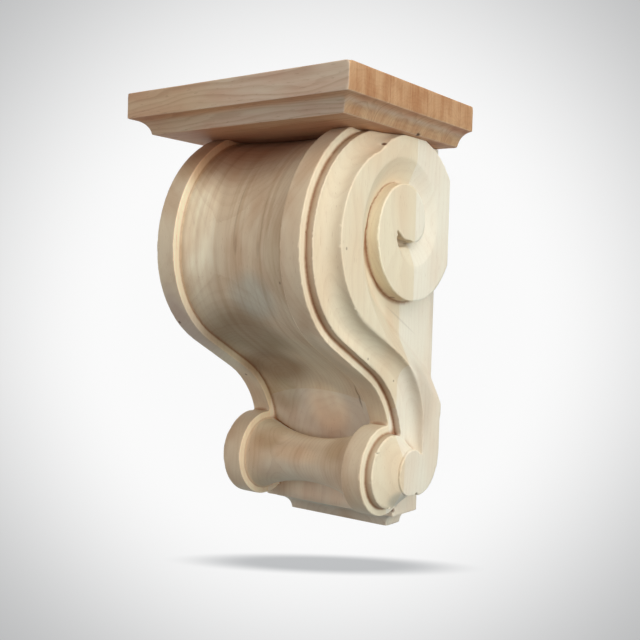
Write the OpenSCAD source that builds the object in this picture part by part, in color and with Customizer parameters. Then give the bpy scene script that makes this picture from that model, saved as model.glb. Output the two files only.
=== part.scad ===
// Scroll corbel: a carved console bracket that carries a shelf or mantel.
// X is the width, the wall is the plane Y = 0, the front is -Y, and Z is up.
// The origin is the middle of the flat back, which is fixed to the wall.

/* [Overall] */
// Width of the cap, the widest part
width = 203; // [170:1:245]
// Depth of the cap, from the wall to its front edge
depth = 165; // [137:1:200]
// Height over all
height = 327; // [272:1:395]

/* [Cap] */
// Thickness of the square edge of the cap
cap_edge = 19; // [12:0.5:26]
// Height of the cove under the edge
cap_cove = 11; // [6:0.5:12.5]
// Radius of the cove
cap_cove_r = 13; // [12.5:0.5:18]

/* [Scroll front] */
// Half of the width over the two rims
rim_half = 66; // [60:0.5:70]
// Width of each rim
rim_w = 17; // [12:0.5:24]
// Depth of the rebate on either side of a rim
rebate = 6; // [3:0.5:8]
// How far the field between the rims is hollowed
hollow = 11.5; // [3:0.5:14]
// Radius of the upper bulge
bulge_r = 93; // [78:0.5:98]
// Drop from the top to the centre of the bulge
bulge_drop = 114.5; // [104:0.5:125]
// Radius where the bulge tightens towards the neck
shoulder_r = 76; // [64:0.5:84]
// Length of the straight between shoulder and neck
slope = 47; // [30:0.5:56]
// Depth of the neck, from the wall
neck_d = 46.5; // [40:0.5:54]

/* [Roll] */
// Radius of the rims where they curl round the roll
roll_r = 33.5; // [29:0.5:37]
// Distance of the roll's axis from the wall
roll_d = 53.2; // [48:0.2:60]
// Height of the roll's axis above the underside
roll_up = 50.6; // [46:0.2:58]
// Radius of the spool at its ends
spool_r = 28; // [24:0.5:29]
// How much thinner the spool is at its waist
waist = 10.5; // [4:0.5:12]
// Radius of the dished end outside the rims
dish_r = 27.5; // [23:0.5:29]

/* [Sides] */
// Half of the width over the cheeks
cheek_half = 72; // [70:0.5:80]
// Height of the carved scroll above the cheek
relief = 11.5; // [6:0.5:14]
// Distance of the volute's centre from the wall
volute_d = 56.5; // [50:0.5:62]
// Drop from the top to the volute's centre
volute_drop = 96; // [88:0.5:104]
// Growth of the volute in one turn
pitch = 45; // [40:0.5:48]
// Width of the groove between two turns
groove_w = 19.5; // [14:0.5:24]
// Depth of the groove where it begins
groove_start = 5.5; // [3:0.5:6]
// Radius of the disc that carries the volute
disc_r = 67.5; // [60:0.5:72]
// Radius of the raised band's bulge
band_r = 66; // [58:0.5:70]
// Depth of the raised band at the neck, from the wall
band_neck_d = 25; // [20:0.5:30]
// Radius of the eye at the foot of the scroll
eye_r = 17.5; // [14:0.5:20]
// Radius of the curl behind the eye
curl_r = 27.5; // [24:0.5:30]

/* [Foot] */
// Width of the block behind the roll
block_w = 125; // [112:1:130]
// Depth of the block
block_d = 35; // [30:0.5:40]
// Height of the moulding under the block
foot_h = 12; // [8:0.5:16]
// How far the moulding steps in at the bottom
foot_in = 15; // [10:0.5:20]

/* [Hidden] */
body_colour = "#e4d8c0";
cap_colour = "#b98f68";

arc_step = 6;            // degrees from point to point on a long arc
bulge_steps = 12;        // points along the bulge, from the cap to the shoulder
neck_steps = 9;          // points round the shoulder, and again round the neck
lap = 1;                 // how far pieces of one solid run into each other
quirk = 4.5;             // small step over the foot's cove
taper = 2.5;             // the carving is this much shallower at the foot
taper_run = 125;         // height over which it loses that
proud = 1.5;             // the eye stands this far proud of the dished end
hollow_fade = 75;        // the field's hollow dies away to the neck as this angle's cosine

// Where one centre lies from another, as [further from the wall, higher]
disc_shift = [-3, 0];    // disc, from the volute
band_shift = [5, 6];     // band's bulge, from the rims' bulge
eye_shift = [-14.5, -1.5]; // eye, from the roll
neck_rise = 11;          // the rims stand upright in the neck this far above the roll
band_neck_rise = 28;     // and the raised band this far
board_drop = 4;          // the scroll's boards reach this far below the roll's axis
curl_rise = 7.5;         // the curl's centre, above the roll
band_over_eye = 3;       // how far the band runs over the eye's edge

top = height / 2;
bottom = -height / 2;
cap_under = top - cap_edge - cap_cove;
panel_half = cheek_half + relief;

// Centres in the side view, as [distance from the wall, height]
bulge_c = [depth - bulge_r, top - bulge_drop];
roll_c = [roll_d, bottom + roll_up];
neck_z = roll_c[1] + neck_rise;
low_z = roll_c[1] - board_drop;
volute_c = [volute_d, top - volute_drop];
disc_c = volute_c + disc_shift;
band_c = bulge_c + band_shift;
band_neck_z = roll_c[1] + band_neck_rise;
eye_c = roll_c + eye_shift;
curl_c = [curl_r + lap / 2, roll_c[1] + curl_rise];
band_end = [eye_c[0] - eye_r + band_over_eye, curl_c[1] + lap];
field_back = neck_d / 3;

function turn(v, a) = [v[0] * cos(a) - v[1] * sin(a), v[0] * sin(a) + v[1] * cos(a)];
function at(c, r, a) = c + r * [cos(a), sin(a)];
function arc(c, r, a, b, n) = [for (i = [0:n]) at(c, r, a + (b - a) * i / n)];
function angle(v) = atan2(v[1], v[0]);
function count(a) = ceil(a / arc_step);

// From a bulge (centre c, radius r) along a straight of the given length into
// a hollow that ends upright at the depth d and the height z: the hollow's
// radius, and the angle at which the curve leaves the bulge.
function hollow_r(c, r, d, z, straight) =
    let(a = d - c[0], b = z - c[1]) (a * a + b * b - r * r - straight * straight) / (2 * (r - a));
function leave(c, r, d, z, r2) =
    let(v = [d + r2, z] - c) angle(v) + acos(min(1, (r + r2) / norm(v)));
function into_neck(c, r, d, z, straight, from, inset = 0) =
    let(r2 = hollow_r(c, r, d, z, straight), a = leave(c, r, d, z, r2))
    concat(arc(c, r - inset, from, a, neck_steps), arc([d + r2, z], r2 + inset, a + 180, 180, neck_steps));

// Front outline of the rims, from the cap down to the neck. inset moves it
// back into the wood, square to the curve. The bulge stops one step short of
// the shoulder, which begins on that point.
shoulder_from = -6;
shoulder_c = at(bulge_c, bulge_r - shoulder_r, shoulder_from);
function front(inset = 0) =
    let(r = bulge_r - inset, from = asin(min(1, (cap_under - bulge_c[1]) / r)))
    concat(
        arc(bulge_c, r, from, shoulder_from + arc_step, bulge_steps),
        into_neck(shoulder_c, shoulder_r, neck_d, neck_z, slope, shoulder_from, inset)
    );
function to_wall(curve) = let(first = curve[0], last = curve[len(curve) - 1]) concat(
    [[0, cap_under]],
    first[1] < cap_under - 0.01 ? [[first[0], cap_under]] : [],
    curve,
    [[last[0], low_z], [0, low_z]]
);

// Side-view outlines run across the width, between the half widths a and b
module both_sides() {
    for (side = [0, 1]) mirror([side, 0, 0]) children();
}
module across(a, b) {
    both_sides() rotate([90, 0, -90]) translate([0, 0, -b]) linear_extrude(b - a) children();
}

// A skin over rings of points, one ring after another, closed at both ends
module loft(rings) {
    n = len(rings[0]);
    m = len(rings);
    polyhedron([for (ring = rings) each ring], concat(
        [for (i = [0:m - 2], j = [0:n - 1]) let(a = i * n + j, b = i * n + (j + 1) % n)
            each [[a, b, b + n], [a, b + n, a + n]]],
        [[for (j = [n - 1:-1:0]) j]],
        [[for (j = [0:n - 1]) (m - 1) * n + j]]
    ));
}

module cap() {
    cut_z = cap_under + cap_cove - cap_cove_r;
    color(cap_colour)
    difference() {
        translate([-width / 2, -depth, cap_under]) cube([width, depth, cap_edge + cap_cove]);
        translate([0, -depth, cut_z])
            rotate([0, 90, 0]) cylinder(r = cap_cove_r, h = width + 2 * lap, center = true, $fn = 72);
        both_sides() translate([width / 2, lap, cut_z])
            rotate([90, 0, 0]) cylinder(r = cap_cove_r, h = depth + 2 * lap, $fn = 72);
    }
}

// The field between the rims, dished across its width
module field() {
    half = rim_half - rim_w + lap;
    across_steps = 6;
    neck = front(rebate);
    outline = concat(neck, [[neck[len(neck) - 1][0], low_z]]);
    last = len(outline) - 1;
    function fade(i) = cos(hollow_fade * i / last);
    function row(i) = [for (j = [-across_steps:across_steps]) let(x = j / across_steps)
        [x * half, -outline[i][0] + hollow * fade(i) * (1 - x * x), outline[i][1]]];
    loft([for (i = [0:last]) concat(
        row(i), [[half, -field_back, outline[i][1]], [-half, -field_back, outline[i][1]]])]);
}

// The rims, which run down the front and curl round the roll
module rims() {
    across(rim_half - rim_w, rim_half) {
        polygon(to_wall(front()));
        translate(roll_c) circle(r = roll_r, $fn = 96);
    }
}

// Front roll: a spool between the two curled rims
module spool() {
    half = rim_half - rim_w;
    end = half + 4 * lap;
    bow = (half * half + waist * waist) / (2 * waist);
    translate([0, -roll_c[0], roll_c[1]]) rotate([90, 0, 90])
        rotate_extrude($fn = 72) difference() {
            translate([0, -end]) square([spool_r, 2 * end]);
            translate([spool_r - waist + bow, 0]) circle(r = bow, $fn = 120);
        }
}

// Outline of the raised carving, widened by w where its edge flares into the
// cheek: up round the disc, down the band and on to the eye. The band starts
// half a step on from the point that it shares with the disc.
function carving(w) =
    let(
        rd = disc_r + w,
        rb = band_r + w,
        v = band_c - disc_c,
        along = (rd * rd - rb * rb + v * v) / (2 * norm(v)),
        meet = disc_c + turn([along, sqrt(rd * rd - along * along)], angle(v)),
        r2 = hollow_r(band_c, band_r, band_neck_d, band_neck_z, slope),
        a = leave(band_c, band_r, band_neck_d, band_neck_z, r2)
    )
    concat(
        [[0, band_end[1]]],
        arc(disc_c, rd, acos(-disc_c[0] / rd), angle(meet - disc_c), count(90)),
        arc(band_c, rb, angle(meet - band_c) - arc_step / 2, a, count(130)),
        arc([band_neck_d + r2, band_neck_z], r2 - w, a + 180, 180, count(70)),
        [[band_end[0] + w, band_end[1]]]
    );

// The raised carving's solid, with a quarter-round hollow along its edge
module carving_blank() {
    function layer(w, x) = [for (p = carving(w)) [x, -p[0], p[1]]];
    loft(concat(
        [for (a = [0:18:72]) layer(relief * (1 - cos(a)), panel_half - relief * sin(a))],
        [layer(relief, cheek_half - lap)]
    ));
}

// Groove of the volute, which opens at the end into the panel of the neck.
// Angles start at the wall and turn upwards.
groove_from = 202;         // where the groove begins, as a point
groove_full = 286;         // where it has its full width
groove_open = 541;         // where it opens into the panel
groove_to = 706;
groove_lead = 2;           // degrees before groove_from at which its width is nil
groove_inset = 6.2;        // the spiral starts this far inside its own centre
floor_left = 1;            // wood left between the groove's floor and the cheek
foot_share = 0.04;         // width of the flat at the foot of the groove's wall
crease_top = [111, 33.5];  // the panel's crease, from the band
crease_wall = [-20, -52.5]; // to past the wall
ramp = [13, -20];          // from the crease out to the panel's edge
function groove_point(r, a) = volute_c + r * [-cos(a), sin(a)];
function outer_r(a) = pitch / 360 * a - groove_inset;
function inner_r(a) = a > groove_full
    ? outer_r(a) - groove_w
    : outer_r(a) - groove_w
        * sin(90 * (a - groove_from + groove_lead) / (groove_full - groove_from + groove_lead));
function groove_depth(a) =
    groove_start + (relief - floor_left - groove_start)
        * min(1, (a - groove_from) / (groove_open - groove_from));
function section(a) =
    let(
        open = min(1, max(0, (a - groove_open) / (groove_to - groove_open))),
        part = min(1, 3 * open),
        depth_here = groove_depth(a) + (taper + lap) * min(1, 8 * open),
        wall = groove_point(inner_r(a), a),
        shore = crease_top + (crease_wall - crease_top) * open,
        edge = groove_point(outer_r(a), a) * (1 - part) + (shore + ramp) * part,
        foot = wall + (edge - wall) * foot_share * (1 - part) + (shore - wall) * part,
        over = edge + (edge - foot) * lap / depth_here
    )
    [for (p = [[wall, lap], [wall, -depth_here], [foot, -depth_here], [over, lap]])
        [panel_half + p[1], -p[0][0], p[0][1]]];
module groove() {
    loft([for (a = [groove_from:7:groove_to]) section(a)]);
}

// Dished end of the lower scroll: it hollows in from the rim to the eye, which
// stands a little proud of it
module dish() {
    rings = 5;
    steepest = 80;
    rise = relief - taper - proud;
    function ring(x, t) = let(c = roll_c + (eye_c - roll_c) * t, r = dish_r + (eye_r - proud - dish_r) * t)
        [for (a = [5:10:355]) let(p = at(c, r, a)) [x, -p[0], p[1]]];
    loft(concat(
        [ring(rim_half - lap, 0)],
        [for (i = [0:rings]) let(a = steepest * i / rings) ring(cheek_half + rise * (1 - cos(a)), sin(a))]
    ));
}

// The curl that the band makes over the block, and the eye in front of it
module curl_and_eye() {
    behind = band_end + [-2 * lap, 5 * lap];
    polygon(concat(
        [[0, behind[1]]],
        arc(curl_c, curl_r, 180 + acos((curl_c[0] - lap / 2) / curl_r), 270, count(90)),
        [eye_c, behind]
    ));
    translate(eye_c) circle(r = eye_r, $fn = 72);
}

module side_carving() {
    difference() {
        union() {
            difference() {
                carving_blank();
                groove();
            }
            rotate([90, 0, -90]) translate([0, 0, -panel_half])
                linear_extrude(panel_half - block_w / 2 + lap) curl_and_eye();
        }
        translate([panel_half, 0, band_end[1] + taper_run]) rotate([0, atan(taper / taper_run), 0])
            translate([0, -depth, -height]) cube([relief, depth + lap, height]);
        translate([0, -depth, cap_under]) cube([width, depth + lap, height]);
    }
}

// Block behind the roll, with a quirk and a cove under it
module foot() {
    half = block_w / 2;
    cove = foot_in - quirk;
    block_h = neck_z + 4 * lap - bottom;
    difference() {
        translate([-half, -block_d, bottom]) cube([2 * half, block_d, block_h]);
        difference() {
            translate([-half - lap, -block_d - lap, bottom - lap])
                cube([2 * (half + lap), block_d + 2 * lap, foot_h + lap]);
            translate([quirk - half, quirk - block_d, bottom - 2 * lap])
                cube([2 * (half - quirk), block_d + 2 * lap, foot_h + 3 * lap]);
        }
        translate([0, quirk - block_d, bottom])
            rotate([0, 90, 0]) cylinder(r = cove, h = block_w, center = true, $fn = 72);
        both_sides() translate([half - quirk, lap, bottom])
            rotate([90, 0, 0]) cylinder(r = cove, h = block_d + 2 * lap, $fn = 72);
    }
}

// The rims and the dished ends, cut back where they meet the block
module curled_rims() {
    difference() {
        union() {
            rims();
            both_sides() dish();
        }
        both_sides() translate([block_w / 2, -block_d, bottom])
            cube([width, block_d + lap, eye_c[1] - bottom]);
    }
}

// What lies between and behind the rims: the field, its backing and the block
module middle() {
    backing = field_back + lap;
    half = rim_half - rim_w + 2 * lap;
    field();
    translate([-half, -backing, low_z]) cube([2 * half, backing, cap_under - low_z]);
    foot();
}

module scroll_body() {
    color(body_colour)
    union() {
        union() {
            curled_rims();
            middle();
        }
        across(rim_half - rim_w / 2, cheek_half) polygon(to_wall(front(rebate)));
        spool();
        both_sides() side_carving();
    }
}

cap();
scroll_body();
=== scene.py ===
# A carved wooden scroll corbel: a moulded cap over a scroll body glued up from pale maple boards.
# It hangs by its flat back, the plane Y = 0. X is the width, -Y the front and Z is up, in metres.
import math

import bmesh
import bpy
import numpy as np
from mathutils import Matrix, Vector


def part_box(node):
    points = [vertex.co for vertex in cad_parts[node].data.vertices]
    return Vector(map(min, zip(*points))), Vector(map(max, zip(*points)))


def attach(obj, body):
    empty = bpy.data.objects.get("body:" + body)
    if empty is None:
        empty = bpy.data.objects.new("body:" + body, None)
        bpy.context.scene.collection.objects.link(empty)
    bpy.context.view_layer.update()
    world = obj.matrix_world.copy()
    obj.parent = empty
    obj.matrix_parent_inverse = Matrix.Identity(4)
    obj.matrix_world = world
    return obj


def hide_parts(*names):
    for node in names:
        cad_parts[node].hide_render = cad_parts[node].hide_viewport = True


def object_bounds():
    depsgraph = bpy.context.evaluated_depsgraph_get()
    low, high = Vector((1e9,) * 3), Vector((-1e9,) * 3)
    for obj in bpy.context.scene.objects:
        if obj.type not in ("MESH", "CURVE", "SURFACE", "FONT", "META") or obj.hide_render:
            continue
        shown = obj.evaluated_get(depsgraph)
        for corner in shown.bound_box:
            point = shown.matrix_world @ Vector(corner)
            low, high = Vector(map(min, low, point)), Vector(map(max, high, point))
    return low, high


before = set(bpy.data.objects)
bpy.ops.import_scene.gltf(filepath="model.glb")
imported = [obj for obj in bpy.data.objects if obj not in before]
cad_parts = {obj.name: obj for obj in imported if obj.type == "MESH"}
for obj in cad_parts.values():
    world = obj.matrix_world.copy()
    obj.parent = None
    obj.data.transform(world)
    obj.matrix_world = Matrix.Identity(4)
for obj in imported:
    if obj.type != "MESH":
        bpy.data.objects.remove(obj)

cad_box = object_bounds()

# ---------------------------------------------------------------------------
# Scroll body. One block of maple boards glued face to face, their joints
# parallel to the wall, bandsawn to the S outline and carved by hand and
# gouge. The flats are sanded, and every arris is a little eased.
# ---------------------------------------------------------------------------
MM = 0.001
half_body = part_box("scroll_body")[1].x
glue_plane = 50                # mm from the wall to the joint between the two blocks
grid = 0.8 * MM                # spacing of the points on the carved skin
merge_gap = 0.002 * MM
flatten_angle = 0.38           # faces that turn by less than this are one surface
flatten_rounds = 40
settle_rounds = 25
smoothing = (("crease", 10), ("hollow", 60))   # each attribute, and how many rounds smooth the skin for it
body_faces = 185000


def corners(mesh):
    """The points of a mesh, and the corners of its triangles."""
    points = np.empty(len(mesh.vertices) * 3)
    mesh.vertices.foreach_get("co", points)
    mesh.calc_loop_triangles()
    faces = np.empty(len(mesh.loop_triangles) * 3, np.int32)
    mesh.loop_triangles.foreach_get("vertices", faces)
    return points.reshape(-1, 3), faces.reshape(-1, 3)


def gather(index, values, size):
    """Sums rows of values into as many rows as size says."""
    return np.stack([np.bincount(index, values[:, k], size) for k in range(values.shape[1])], 1)


def unit(v):
    """Each row at length 1."""
    return v / np.maximum(np.linalg.norm(v, axis=1), 1e-12)[:, None]


def even_out(mesh):
    """Works a gridded skin as a scraper does: evens the surfaces and leaves the arrises crisp."""
    points, faces = corners(mesh)
    edges = np.sort(np.concatenate([faces[:, [0, 1]], faces[:, [1, 2]], faces[:, [2, 0]]]), 1)
    owner = np.tile(np.arange(len(faces)), 3)
    order = np.lexsort((edges[:, 1], edges[:, 0]))
    edges = edges[order]
    owner = owner[order]
    same = (edges[1:] == edges[:-1]).all(1)
    left = owner[:-1][same]
    right = owner[1:][same]
    a, b, c = (points[faces[:, k]] for k in range(3))
    square = np.cross(b - a, c - a)
    area = np.linalg.norm(square, axis=1)
    normal = unit(square)
    for _ in range(flatten_rounds):
        apart = ((normal[left] - normal[right]) ** 2).sum(1)
        weight = np.exp(-apart / (2 * flatten_angle ** 2))[:, None]
        total = normal * area[:, None]
        total += gather(left, normal[right] * weight * area[right, None], len(faces))
        total += gather(right, normal[left] * weight * area[left, None], len(faces))
        normal = unit(total)
    flat = faces.ravel()
    uses = np.bincount(flat, minlength=len(points))[:, None]
    spread = np.repeat(normal, 3, 0)
    for _ in range(settle_rounds):
        off = ((np.repeat(points[faces].mean(1), 3, 0) - points[flat]) * spread).sum(1)
        points = points + gather(flat, off[:, None] * spread, len(points)) / uses
    mesh.vertices.foreach_set("co", points.ravel())
    mesh.update()


def mark_hollows(mesh):
    """Stores how far each point lies inside a crease, in mm: less than 0 on an arris."""
    points, _ = corners(mesh)
    normals = np.empty(len(points) * 3)
    mesh.vertices.foreach_get("normal", normals)
    edges = np.empty(len(mesh.edges) * 2, np.int32)
    mesh.edges.foreach_get("vertices", edges)
    one, other = edges.reshape(-1, 2).T
    here = np.concatenate([one, other])
    there = np.concatenate([other, one])
    uses = np.bincount(here, minlength=len(points))[:, None]
    smooth = points
    for name, rounds in smoothing:
        for _ in range(rounds):
            smooth = (smooth + gather(here, smooth[there], len(points)) / uses) / 2
        depth = ((smooth - points) * normals.reshape(-1, 3)).sum(1) / MM
        mesh.attributes.new(name, "FLOAT", "POINT").data.foreach_set("value", depth)


def through_modifier(piece, kind, **settings):
    """Applies one modifier to the piece's mesh."""
    modifier = piece.modifiers.new(kind.title(), kind)
    for key, value in settings.items():
        setattr(modifier, key, value)
    shaped = bpy.data.meshes.new_from_object(piece.evaluated_get(bpy.context.evaluated_depsgraph_get()))
    piece.modifiers.clear()
    piece.data = shaped


def skin_of(node, name, face_count, cutters=()):
    """A fine, closed skin over a CAD node, ready to be carved."""
    shell = bmesh.new()
    shell.from_mesh(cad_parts[node].data)
    bmesh.ops.remove_doubles(shell, verts=shell.verts, dist=merge_gap)
    mesh = bpy.data.meshes.new(name)
    shell.to_mesh(mesh)
    shell.free()
    piece = bpy.data.objects.new(name, mesh)
    bpy.context.scene.collection.objects.link(piece)
    for cutter in cutters:
        bpy.context.scene.collection.objects.link(cutter)
        through_modifier(piece, "BOOLEAN", operation="DIFFERENCE", solver="EXACT", object=cutter)
        bpy.data.objects.remove(cutter)
    through_modifier(piece, "REMESH", mode="VOXEL", voxel_size=grid, use_smooth_shade=True)
    even_out(piece.data)
    mark_hollows(piece.data)
    through_modifier(piece, "DECIMATE", ratio=face_count / (2 * len(piece.data.polygons)))
    return piece


# Under the eye, where the volute starts, the gouge leaves a deep hooked corner: mm out from the wall, and up
hook = ((75.6, 66), (67.2, 52.6), (57, 54.2), (44, 56.6), (57, 57.4), (66, 60))
hook_depth = 8.5 * MM


def hook_cutter(side):
    """The block of wood that leaves the hook, on the side that is 1 or -1."""
    cut = bmesh.new()
    face = cut.faces.new([cut.verts.new((side * (half_body + MM), -d * MM, z * MM)) for d, z in hook])
    pushed = bmesh.ops.extrude_face_region(cut, geom=[face])["geom"]
    bmesh.ops.translate(
        cut, vec=(-side * (hook_depth + MM), 0, 0),
        verts=[v for v in pushed if isinstance(v, bmesh.types.BMVert)])
    bmesh.ops.recalc_face_normals(cut, faces=cut.faces)
    mesh = bpy.data.meshes.new("hook_cutter")
    cut.to_mesh(mesh)
    cut.free()
    return bpy.data.objects.new("hook_cutter", mesh)


# Hand work strays in long slow waves: which way each runs, in radians a mm, its start and its share
waves = (
    ((0.11, 0.07, 0.05), 0.4, 0.4),
    ((-0.06, 0.13, 0.09), 2.1, 0.3),
    ((0.21, -0.17, 0.12), 4.0, 0.3))


def carve(piece, dents, waver):
    """Moves the skin: dents are (middle, radii, push) in mm, and waver is how far hand work strays."""
    points, _ = corners(piece.data)
    normals = np.empty(len(points) * 3)
    piece.data.vertices.foreach_get("normal", normals)
    normals = normals.reshape(-1, 3)
    mm = points / MM
    stray = sum(np.sin(mm @ np.array(way) + start) * share for way, start, share in waves)
    move = normals * (stray * waver)[:, None]
    for middle, radii, push in dents:
        near = np.exp(-(((mm - np.array(middle)) / np.array(radii)) ** 2).sum(1))
        move += near[:, None] * np.array(push)
    points += move * MM
    points[:, 1] = np.minimum(points[:, 1], 0)                    # never into the wall
    piece.data.vertices.foreach_set("co", points.ravel())
    piece.data.update()


# The dished ends of the roll: circles that run from the roll's rim to the eye, out from the wall and up
rim_at = np.array((53.2, -112.9))
rim_radius = 27.5
eye_at = np.array((38.7, -114.4))
eye_radius = 16
dish_foot = 72                 # how far out the dish starts
dish_rise = 7.5                # how much higher the eye is
dish_bow = 1.35                # 1 would rise in a straight line
skin_band = 0.7                # skin this close to the cut dish belongs to it


def swell_dish(piece):
    """Fills the dishes a little, so that they rise evenly from the rim to the eye."""
    points, _ = corners(piece.data)
    mm = points / MM
    out = mm[:, 1:] * (-1, 1) - rim_at
    way = eye_at - rim_at
    narrowing = eye_radius - rim_radius
    a = way @ way - narrowing ** 2
    b = -2 * (out @ way + rim_radius * narrowing)
    c = (out ** 2).sum(1) - rim_radius ** 2
    part = np.clip((np.sqrt(np.maximum(b * b - 4 * a * c, 0)) - b) / (2 * a), 0, 1)
    now = dish_foot + dish_rise * (1 - np.sqrt(1 - part ** 2))
    wanted = dish_foot + dish_rise * part ** dish_bow
    side = np.abs(mm[:, 0])
    inside = (c < 0) & (side > now - skin_band)
    side = np.where(inside, np.maximum(side, wanted), side)
    points[:, 0] = np.copysign(side, mm[:, 0]) * MM
    piece.data.vertices.foreach_set("co", points.ravel())
    piece.data.update()


hand_waver = 0.09
scroll = skin_of("scroll_body", "scroll_skin", body_faces, [hook_cutter(side) for side in (1, -1)])
swell_dish(scroll)
carve(scroll, [
    ((62, -32, -146), (2.2, 2.6, 2.4), (-2.6, 1.0, 1.6)),      # a tool's notch where the ring stops
    ((81, -91.5, 123), (3, 2.4, 1.6), (-1.2, 0.4, -0.6)),      # a chip on the band under the cap
    ((39, -58, -51), (2.2, 2.2, 3), (0, 0.5, 0.4)),            # a slip of the knife beside the field
    ((39, -51.7, -60), (2.2, 2.2, 3), (0, 0.8, 0.5)),
    ((39.5, -46, -69), (2.2, 2.2, 3), (0, 0.8, 0.3)),
    ((79, -33.5, -131), (5, 2.6, 2.6), (0, 0, -1.3)),          # eye and curl run together below
], hand_waver)


class Value:
    """A socket that sums: an expression on it adds the Math nodes."""

    def __init__(self, finish, socket):
        self.finish, self.socket = finish, socket

    def _with(self, operation, *others):
        return self.finish.node("Math", {"operation": operation}, dict(enumerate((self, *others))))

    def __add__(self, other):
        return self._with("ADD", other)

    def __sub__(self, other):
        return self._with("SUBTRACT", other)

    def __rsub__(self, other):
        return self.finish.node("Math", {"operation": "SUBTRACT"}, {0: other, 1: self})

    def __mul__(self, other):
        return self._with("MULTIPLY", other)

    def __truediv__(self, other):
        return self._with("DIVIDE", other)

    def __pow__(self, other):
        return self._with("POWER", other)

    def __neg__(self):
        return 0 - self

    __radd__ = __add__
    __rmul__ = __mul__

    def floor(self):
        return self._with("FLOOR")

    def fract(self):
        return self._with("FRACT")

    def size(self):
        return self._with("ABSOLUTE")

    def at_least(self, low):
        return self._with("MAXIMUM", low)

    def step(self, low, high):
        """0 up to low, 1 from high, and smooth between."""
        return self.finish.node(
            "MapRange", {"interpolation_type": "SMOOTHSTEP"}, {0: self, 1: low, 2: high})


class Finish:
    """A surface finish under construction, on object coordinates in millimetres."""

    def __init__(self, name):
        self.material = bpy.data.materials.new(name)
        self.material.use_nodes = True
        self.tree = self.material.node_tree
        self.shader = self.tree.nodes["Principled BSDF"]
        place = self.node("TexCoord", out="Object")
        self.place = self.node("VectorMath", {"operation": "SCALE"}, {0: place, "Scale": 1 / MM})
        self.x, self.y, self.z = (self.node("SeparateXYZ", {}, {0: self.place}, out=k) for k in range(3))
        facing = self.node("TexCoord", out="Normal")
        self.nx, self.ny, self.nz = (self.node("SeparateXYZ", {}, {0: facing}, out=k) for k in range(3))

    def node(self, kind, settings=None, inputs=None, out=0):
        """Adds a node, sets it, then feeds its sockets with numbers or links."""
        made = self.tree.nodes.new("ShaderNode" + kind)
        for key, value in (settings or {}).items():
            setattr(made, key, value)
        for key, value in (inputs or {}).items():
            if isinstance(value, Value):
                self.tree.links.new(value.socket, made.inputs[key])
            else:
                made.inputs[key].default_value = value
        return Value(self, made.outputs[out])

    def noise(self, stretch, detail=2, shift=0):
        """Soft noise about half, with one feature to each `stretch` millimetres along x, y and z."""
        at = self.node("Mapping", {}, {
            0: self.place, "Scale": [1 / s for s in stretch], "Location": (shift, 0.6 * shift, 0.3 * shift)})
        return self.node("TexNoise", {}, {"Vector": at, "Scale": 1, "Detail": detail})

    def blend(self, amount, one, other):
        """One colour at 0 and the other at 1."""
        return self.node("Mix", {"data_type": "RGBA"}, {0: amount, 6: one, 7: other}, out=2)

    def tint(self, amount, colour, by):
        """A colour multiplied by another, as far as the amount says."""
        return self.node(
            "Mix", {"data_type": "RGBA", "blend_type": "MULTIPLY"}, {0: amount, 6: colour, 7: by}, out=2)

    def near(self, middle, radii, turned=(0, 0, 0)):
        """1 at a point, falling to 0 at the given radii, which can be turned."""
        off = self.node("Mapping", {"vector_type": "TEXTURE"}, {
            0: self.place, "Location": middle, "Scale": radii, "Rotation": turned})
        return 1 - self.node("VectorMath", {"operation": "LENGTH"}, {0: off}, out="Value").step(0.4, 1)

    def stored(self, name):
        """An attribute of the skin."""
        return self.node("Attribute", {"attribute_name": name}, out="Fac")

    def shade_creases_light_arrises(self, amount, colour):
        """Paints shade into creases and hollows, and a paler painted highlight along the arrises."""
        hollow = self.stored("hollow").step(0.2, 1.3)
        crease = self.stored("crease").step(0.05, 0.3)
        colour = self.tint(0.5 * amount * hollow, colour, linear(206, 170, 138))
        colour = self.tint(0.85 * amount * crease, colour, linear(166, 120, 86))
        return self.tint((-self.stored("crease")).step(0.06, 0.35), colour, (1.12, 1.13, 1.14, 1))

    def wear(self, colour, rough, height, relief):
        """Puts the finish on the shader."""
        bump = self.node("Bump", {}, {"Height": height, "Distance": relief * MM, "Strength": 1})
        for name, value in (("Base Color", colour), ("Roughness", rough), ("Normal", bump)):
            self.tree.links.new(value.socket, self.shader.inputs[name])
        self.shader.inputs["Specular IOR Level"].default_value = 0.25
        return self.material


def linear(*bytes_):
    """A colour as the shader wants it, with its alpha."""
    return (*((b / 255) ** 2.2 for b in bytes_), 1)


def maple(finish, along, across, out, pith, spacing, sway):
    """Growth rings round a pith that runs along the board, fibres and flecks: each about 0 to 1.

    The grain's directions are axis numbers. The pith's place, the rings' spacing and how far they
    sway are in millimetres.
    """
    longways = [22] * 3
    longways[along] = 120
    bend = finish.noise(longways, 2, 3.1)
    wave = finish.noise([60 if k == along else 200 for k in range(3)], 1, 7.7)
    axes = (finish.x, finish.y, finish.z)
    side = axes[across] - pith[0] + 10 * (wave - 0.5)
    deep = axes[out] - pith[1]
    reach = (side * side + deep * deep) ** 0.5 + sway * (bend - 0.5)
    turn = reach / spacing
    phase = turn.fract()
    ring = finish.node("TexWhiteNoise", {"noise_dimensions": "1D"}, {"W": turn.floor()})
    late = phase.step(0.35, 0.92) * (1 - phase.step(0.92, 1)) * (0.25 + 0.75 * ring)
    thin = [0.55] * 3
    thin[along] = 26
    fibre = finish.noise(thin, 3, 1.3)
    short = [0.8] * 3
    short[along] = 7
    fleck = finish.noise(short, 1, 5.9).step(0.66, 0.76)
    return late, fibre, fleck


rim_start = 49                 # mm out from the middle: the field's rims, the rabbets and the cheeks
rabbet_start = 66
cheek_start = 72
neck = -82                     # the field's tongue starts below this height
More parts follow.
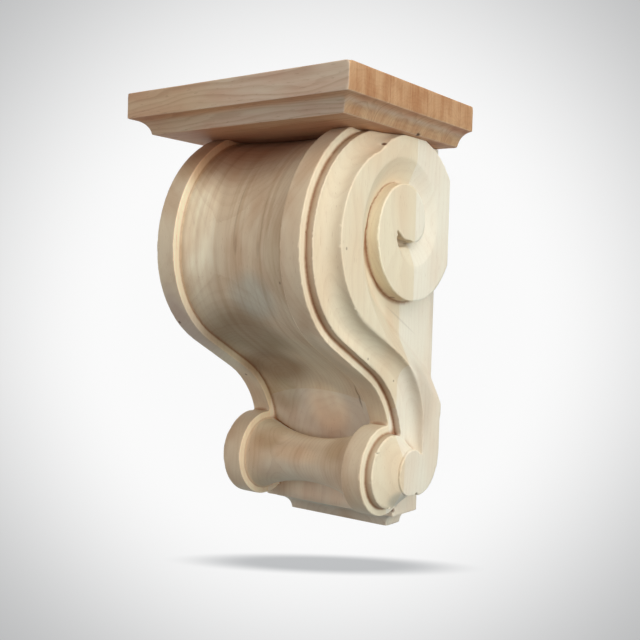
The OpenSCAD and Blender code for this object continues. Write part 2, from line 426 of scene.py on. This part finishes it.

# Patches of painted shade and painted light that also shift the wood's tone: middle and radii in mm, and the
# colour
painted_light_and_shade_patches = (
    ((-25, -112, 146), (84, 120, 60), (0.56, 0.38, 0.31, 1)),       # painted shadow under the cap
    ((-18, -112, -12), (44, 46, 40), (0.54, 0.48, 0.41, 1)),        # painted shade low in the field
    ((-26, -72, -38), (38, 34, 32), (0.56, 0.48, 0.42, 1)),
    ((8, -140, 14), (28, 22, 26), (0.86, 0.98, 1.10, 1)),
    ((5, -44, -72), (26, 30, 28), (1.32, 1.30, 1.24, 1)),           # painted light on the neck, over the roll
    ((-36, -150, 64), (17, 26, 66), (1.34, 1.46, 1.54, 1)),
    ((38, -150, 38), (15, 26, 44), (0.88, 0.82, 0.76, 1)),
    ((-56, -140, 110), (16, 30, 24), (0.84, 0.74, 0.66, 1)),        # painted shade on the far rim, above and below
    ((-60, -140, -12), (16, 55, 46), (0.84, 0.80, 0.88, 1)),
    ((65, -118, -24), (11, 44, 40), (1.20, 1.20, 1.22, 1)),
    ((-36, -48, -62), (20, 26, 24), (0.80, 0.78, 0.72, 1)),
    ((-10, -56, -94), (56, 22, 12), (1.20, 1.22, 1.26, 1)),         # painted light on the roll's top, painted shade either side and a painted highlight across it
    ((-34, -66, -98), (15, 30, 13), (0.86, 0.80, 0.73, 1)),
    ((32, -64, -100), (16, 30, 13), (0.84, 0.78, 0.71, 1)),
    ((-6, -70, -108), (26, 12, 10), (1.12, 1.10, 1.08, 1)),
    ((-4, -68, -120), (60, 22, 12), (1.02, 1.08, 1.16, 1)),
    ((0, -36, -142), (66, 16, 14), (1.30, 1.22, 1.14, 1)),
    ((0, -30, -158), (76, 36, 14), (0.80, 0.82, 0.82, 1)),
    ((80, -30, -60), (10, 24, 44), (0.87, 0.86, 0.85, 1)),
    # painted shadow on the dish, below the eye
    ((76, -50, -135), (7, 15, 11), (0.70, 0.74, 0.78, 1)))

# Small knots, slips of the knife, chips and specks, with painted shade down in the hook and in the knife's
# cut: middle and radii in mm, tilt about X, strength
marks_and_painted_shade = (
    ((-4, -149, 50), (2.2, 10, 9), 0, 0.16),                        # small knots in the field
    ((18, -150, 47), (2.0, 10, 8), 0, 0.14),
    ((-6, -147, 76), (1.0, 24, 40), 0, 0.16),
    ((20, -149, 64), (1.0, 24, 30), 0, 0.12),
    ((39, -52, -60), (1.4, 3, 15), 0.585, 0.5),                     # the slip of the knife, its cut darkened with painted shade
    ((76.5, -57, 55), (2.6, 16, 9), 0, 0.38),                       # painted shade down in the hook
    ((72, -48, 0), (2, 30, 1.1), -0.462, 0.14),
    ((75, -66, 16.2), (3, 9, 1.6), 0.28, 0.5),
    ((81, -91.5, 123.4), (3, 2.4, 1.3), 0.5, 0.9),
    ((62, -33, -146), (3.2, 3.4, 3), 0, 0.8),
    ((83.5, -137, 47.7), (2, 1.4, 1.5), 0, 0.5),                    # specks
    ((72, -90, -27.6), (2, 1.3, 1.3), 0, 0.5),
    ((72, -55, -45), (2, 1.4, 1.2), 0, 0.5),
    ((-63.4, -142, -6.5), (1.6, 2.4, 1.6), 0, 0.8),
    ((-57.3, -72.3, -49), (1.5, 2, 1.5), 0, 0.7),
    ((39.5, -151, 24), (1.3, 2, 1.5), 0, 0.5))


def body_wood():
    """Pale maple with the growth rings running up the corbel."""
    f = Finish("sanded_maple")
    side = f.x.size()
    board = (-f.y).step(glue_plane - 0.1, glue_plane + 0.1)
    late, fibre, fleck = maple(f, 2, 0, 1, (14 - 40 * board, 30 - 90 * board), 3.4, 7)
    front = (-f.ny).step(0.3, 0.9) * (1 - side.step(rabbet_start, cheek_start))
    field = (1 - side.step(rim_start - 4, rim_start + 3)) * (-f.ny).step(-0.3, 0.1)
    mottle = f.noise((38, 38, 90), 2, 9.2)
    colour = f.blend(mottle.step(0.35, 0.72), linear(232, 221, 200), linear(227, 207, 182))
    colour = f.tint(board, colour, linear(249, 243, 231))
    colour = f.tint(0.7 * front, colour, linear(254, 248, 244))
    colour = f.tint(0.09 * late + 0.05 * late * field, colour, linear(190, 146, 112))
    colour = f.tint((fibre - 0.5).size() * 0.5, colour, linear(214, 188, 156))
    colour = f.tint(0.22 * fleck, colour, linear(186, 146, 110))
    blotch = f.noise((24, 34, 40), 2, 12.4).step(0.38, 0.68)
    colour = f.tint(0.5 * blotch * front, colour, linear(224, 200, 184))
    streak = f.noise((4.5, 200, 130), 4, 6.1).step(0.4, 0.7) * f.z.step(-62, -10)
    colour = f.tint(0.34 * streak * field, colour, linear(206, 178, 150))
    # Painted shade on the rabbet's front-facing strip, strongest at its inner edge
    rabbet_shade = side.step(rabbet_start - 0.1, rabbet_start + 0.5)
    rabbet_shade = rabbet_shade * (1 - side.step(cheek_start - 0.8, cheek_start))
    rabbet_shade = rabbet_shade * (1 - f.nx.size()).step(0.25, 0.6) * (1 - f.ny.step(0.3, 0.7))
    rabbet_shade = rabbet_shade * (1 - 0.55 * side.step(rabbet_start + 0.5, cheek_start - 2))
    colour = f.tint(rabbet_shade, colour, (0.62, 0.50, 0.44, 1))
    # Painted light on the far rim's inner side, weaker in one place low down
    far_rim_light = f.x.step(-rim_start - 3, -rim_start - 2) * (1 - f.x.step(-rim_start + 5, -rim_start + 6))
    far_rim_light = far_rim_light * f.nx.step(0.4, 0.8) * (1 - 0.7 * f.near((-48, -100, -34), (14, 100, 60)))
    colour = f.tint(far_rim_light, colour, (1.36, 1.36, 1.34, 1))

    # Painted shade and painted light of the patches, laid over the wood
    for middle, radii, by in painted_light_and_shade_patches:
        colour = f.tint(f.near(middle, radii), colour, by)
    # Painted light, cool and paler, on the front-facing wall of the volute's groove
    wall = f.near((79, -92, 42), (9, 24, 54)) * (-f.ny).step(0.1, 0.6)
    colour = f.tint(wall, colour, (1.20, 1.26, 1.30, 1))

    # Painted shade in the creases and hollows, weaker on the sides, and a painted highlight on the arrises
    colour = f.shade_creases_light_arrises(1 - 0.86 * side.step(cheek_start + 1, cheek_start + 4), colour)
    # Knots, slips, chips and specks, and painted shade down in the hook and the knife's cut
    for middle, radii, tilt, strength in marks_and_painted_shade:
        colour = f.tint(strength * f.near(middle, radii, (tilt, 0, 0)), colour, linear(112, 70, 44))
    chatter = f.noise((1.0, 60, 60), 2, 2.9) * (1 - f.z.step(neck - 6, neck)) * front
    colour = f.tint(0.14 * chatter * field, colour, linear(205, 172, 142))
    height = fibre * 0.5 + late * 0.4 - fleck * 0.4 + chatter * 0.8
    return f.wear(colour, 0.5 + 0.14 * fibre, height, 0.05)


scroll.data.materials.clear()
scroll.data.materials.append(body_wood())
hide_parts("scroll_body")
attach(scroll, "root")

# ---------------------------------------------------------------------------
# Cap. Three boards of browner maple glued edge to edge, the grain running
# across the width, with a cove worked under the edge all round. Its ends are
# end grain, which takes the light deeper and looks orange.
# ---------------------------------------------------------------------------
cap_faces = 60000
first_joint = 21               # mm from the wall
board_width = 48.25
joint_width = 0.012            # as a share of the board
strip_width = 11.3             # of the end grain's paler and darker strips
nick = (88.5, -58, 134.5)      # a splinter out of the end's cove
cap_waver = 0.06


def cap_wood():
    """Browner maple with the grain running across the width, and end grain on the two ends."""
    f = Finish("browner_maple")
    place = (-f.y - first_joint) / board_width
    board = place.floor()
    pick = f.node("TexWhiteNoise", {"noise_dimensions": "1D"}, {"W": board + 5})
    late, fibre, fleck = maple(f, 0, 1, 2, (20 * (pick - 0.5) - 48 * board - 40, 120), 3.2, 20)
    mottle = f.noise((60, 26, 16), 3, 2.2)
    colour = f.blend(mottle.step(0.3, 0.7), linear(212, 191, 165), linear(202, 167, 141))
    colour = f.tint(0.3 * late, colour, linear(184, 146, 116))
    colour = f.tint((fibre - 0.5).size() * 0.6, colour, linear(200, 168, 140))
    colour = f.tint(f.near((-96, -165, 150), (120, 30, 50)), colour, (0.92, 0.82, 0.70, 1))

    end = f.nx.size().step(0.45, 0.85)
    strip = f.node("TexWhiteNoise", {"noise_dimensions": "1D"}, {"W": (f.y / strip_width).floor()})
    streak = f.noise((40, 0.9, 50), 4, 4.4).step(0.35, 0.65)
    patch = f.noise((40, 9, 16), 3, 8.1).step(0.35, 0.68)
    orange = f.blend(0.35 * strip + 0.25 * streak + 0.4 * patch, linear(194, 152, 112), linear(160, 108, 70))
    orange = f.tint(0.12 * late, orange, linear(150, 100, 66))
    colour = f.blend(end, colour, orange)
    glue = place.fract()
    line = (1 - glue.step(0, joint_width)) + glue.step(1 - joint_width, 1)
    colour = f.tint(0.4 * line, colour, linear(176, 120, 78))
    colour = f.tint(0.3 * fleck, colour, linear(150, 108, 80))
    # Painted shade on the cap's faces that look down, darker and browner
    colour = f.tint((-f.nz).step(0.75, 0.97), colour, (0.97, 0.74, 0.60, 1))
    # Painted cool light on the end grain where its cove faces down
    cove = end * (-f.nz).step(0.15, 0.5)
    colour = f.tint(cove, colour, (1.12, 1.24, 1.38, 1))
    # Painted shade in the creases and hollows, weaker on the end grain, and a painted highlight on the
    # arrises
    colour = f.shade_creases_light_arrises(0.7 - 0.2 * end, colour)
    colour = f.tint(0.9 * f.near(nick, (4, 3, 1.6)), colour, linear(60, 38, 26))
    return f.wear(colour, 0.52 + 0.14 * fibre, fibre * 0.5 + late * 0.5 - fleck * 0.4, 0.06)


cap = skin_of("cap", "cap_skin", cap_faces)
carve(cap, [
    ((101.5, -165, 163.5), (1.6, 1.6, 2.0), (-0.7, 0.7, -0.4)),   # the worn front corner
    ((101.5, -165, 146), (1.4, 1.4, 3.0), (-0.5, 0.5, 0)),
    (nick, (3, 3, 1.6), (-0.9, 0, 0.7)),
], cap_waver)
cap.data.materials.clear()
cap.data.materials.append(cap_wood())
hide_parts("cap")
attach(cap, "root")

# ---------------------------------------------------------------------------
# Studio. The corbel is shown held up by its back over a pale floor that
# sweeps up behind it, at eye level, lit by large soft lamps. The floor only
# glows, with a pool of light and a soft shadow painted on it.
# ---------------------------------------------------------------------------
wide = cad_box[1].x - cad_box[0].x
top = cad_box[1].z
azimuth, elevation, roll = (math.radians(a) for a in (36.591, 1.3794, 1.708))
back = Vector((
    math.sin(azimuth) * math.cos(elevation), -math.cos(azimuth) * math.cos(elevation), math.sin(elevation)))
right = Vector((math.cos(azimuth), math.sin(azimuth), 0))
up = back.cross(right)
right, up = right * math.cos(roll) + up * math.sin(roll), up * math.cos(roll) - right * math.sin(roll)
camera = bpy.data.objects.new("camera", bpy.data.cameras.new("camera"))
bpy.context.scene.collection.objects.link(camera)
camera.data.lens = 52.36
camera.data.sensor_width = 36
stand = (2.151 * wide, -3.151 * wide, top - 0.732 * wide)
camera.matrix_world = Matrix.Translation(stand) @ Matrix((right, up, back)).transposed().to_4x4()
bpy.context.scene.camera = camera
bpy.context.scene.view_settings.view_transform = "Standard"

floor_drop = 0.040             # below the corbel's foot
sweep_radius = 0.5
sweep_facets = 16
behind = 1.3                   # how far back the sweep starts
reach = 6.0
away = Vector((-back.x, -back.y, 0)).normalized()
aside = Vector((away.y, -away.x, 0))
paper_white = (0.957, 0.957, 0.957, 1)
paper_grey = (0.49, 0.495, 0.50, 1)


def studio_floor():
    """A profile of floor, quarter round and wall, drawn out sideways, square to the view."""
    shape = bmesh.new()
    low = cad_box[0].z - floor_drop
    path = [(-reach, 0), (behind, 0)]
    path += [(behind + sweep_radius * math.sin(a), sweep_radius * (1 - math.cos(a)))
             for a in np.linspace(0, math.pi / 2, sweep_facets + 1)[1:]]
    path.append((behind + sweep_radius, reach))
    verts = [shape.verts.new(away * d + Vector((0, 0, low + h)) - aside * reach) for d, h in path]
    edges = [shape.edges.new(pair) for pair in zip(verts, verts[1:])]
    drawn = bmesh.ops.extrude_edge_only(shape, edges=edges)["geom"]
    bmesh.ops.translate(
        shape, vec=aside * 2 * reach, verts=[v for v in drawn if isinstance(v, bmesh.types.BMVert)])
    bmesh.ops.recalc_face_normals(shape, faces=shape.faces)
    mesh = bpy.data.meshes.new("studio_floor")
    shape.to_mesh(mesh)
    shape.free()
    mesh.shade_smooth()
    return bpy.data.objects.new("studio_floor", mesh)


floor = studio_floor()
bpy.context.scene.collection.objects.link(floor)

# A pool of light is painted on the paper, round a line away from the front that sinks a little, and
# widening as it goes. These are in mm, but for the sink and the edges, which are slopes.
pool_middle = -30
pool_height = -10
pool_sink = 0.025
pool_start = 740               # in front of the corbel, where the pool would be a point
pool_least = 300
pool_edge = (0.226, 0.56)      # where the grey begins, and where it is full
shadow_middle = (-8, -24, (cad_box[0].z - floor_drop) / MM)
shadow_radii = (136, 34, 60)
shadow_grey = (0.56, 0.57, 0.58, 1)
paper = Finish("paper_sweep")
across = paper.x * aside.x + paper.y * aside.y - pool_middle
deep = paper.x * away.x + paper.y * away.y
height = paper.z - pool_height + pool_sink * deep
pool = (across * across + height * height) ** 0.5 / (deep + pool_start).at_least(pool_least)
shade = paper.blend(pool.step(*pool_edge), paper_white, paper_grey)
# A soft shadow painted on the paper under the corbel
shade = paper.tint(paper.near(shadow_middle, shadow_radii, (0, 0, azimuth)), shade, shadow_grey)
paper.tree.links.new(shade.socket, paper.shader.inputs["Emission Color"])
paper.shader.inputs["Emission Strength"].default_value = 1
paper.shader.inputs["Base Color"].default_value = (0, 0, 0, 1)
paper.shader.inputs["Specular IOR Level"].default_value = 0
floor.data.materials.append(paper.material)
floor.visible_diffuse = floor.visible_shadow = False


lamp_far = 1.6
lamp_size = 0.8
world_colour = (0.97, 0.99, 1, 1)
world_strength = 0.1


def lamp(name, turn, rise, watts, colour):
    """A round soft lamp aimed at the corbel, turned from the front and raised by these degrees."""
    light = bpy.data.lights.new(name, "AREA")
    light.shape = "DISK"
    light.size = lamp_size
    light.energy = watts
    light.color = colour
    turn = math.radians(turn)
    rise = math.radians(rise)
    way = Vector((math.sin(turn) * math.cos(rise), -math.cos(turn) * math.cos(rise), math.sin(rise)))
    holder = bpy.data.objects.new(name, light)
    holder.location = way * lamp_far
    holder.rotation_euler = way.to_track_quat("Z", "Y").to_euler()
    bpy.context.scene.collection.objects.link(holder)


for name, turn, rise, watts, colour in (
        ("key", 90, 5, 12.5, (0.86, 1, 1.06)),
        ("high_right", 75, 35, 6, (1, 0.98, 1)),
        ("near_right", 60, 5, 4.8, (1, 0.96, 0.9)),
        ("overhead_front", 40, 45, 6, (0.98, 1, 0.98)),
        ("top", 30, 75, 2, (1, 1, 0.9)),
        ("front", -20, 5, 4.4, (0.95, 1, 1.15)),
        ("front_left", -55, 10, 1.8, (1.2, 0.95, 0.7)),
        ("low_left", -70, -25, 2.8, (0.85, 1, 1)),
        ("low_front", 0, -45, 1, (0.8, 1, 1)),
        ("behind", 200, 25, 9, (1, 0.98, 0.95)),
        ("behind_left", -120, 10, 5, (1, 0.98, 0.95))):
    lamp(name, turn, rise, watts, colour)
world = bpy.data.worlds.new("studio")
bpy.context.scene.world = world
world.use_nodes = True
world.node_tree.nodes["Background"].inputs["Color"].default_value = world_colour
world.node_tree.nodes["Background"].inputs["Strength"].default_value = world_strength
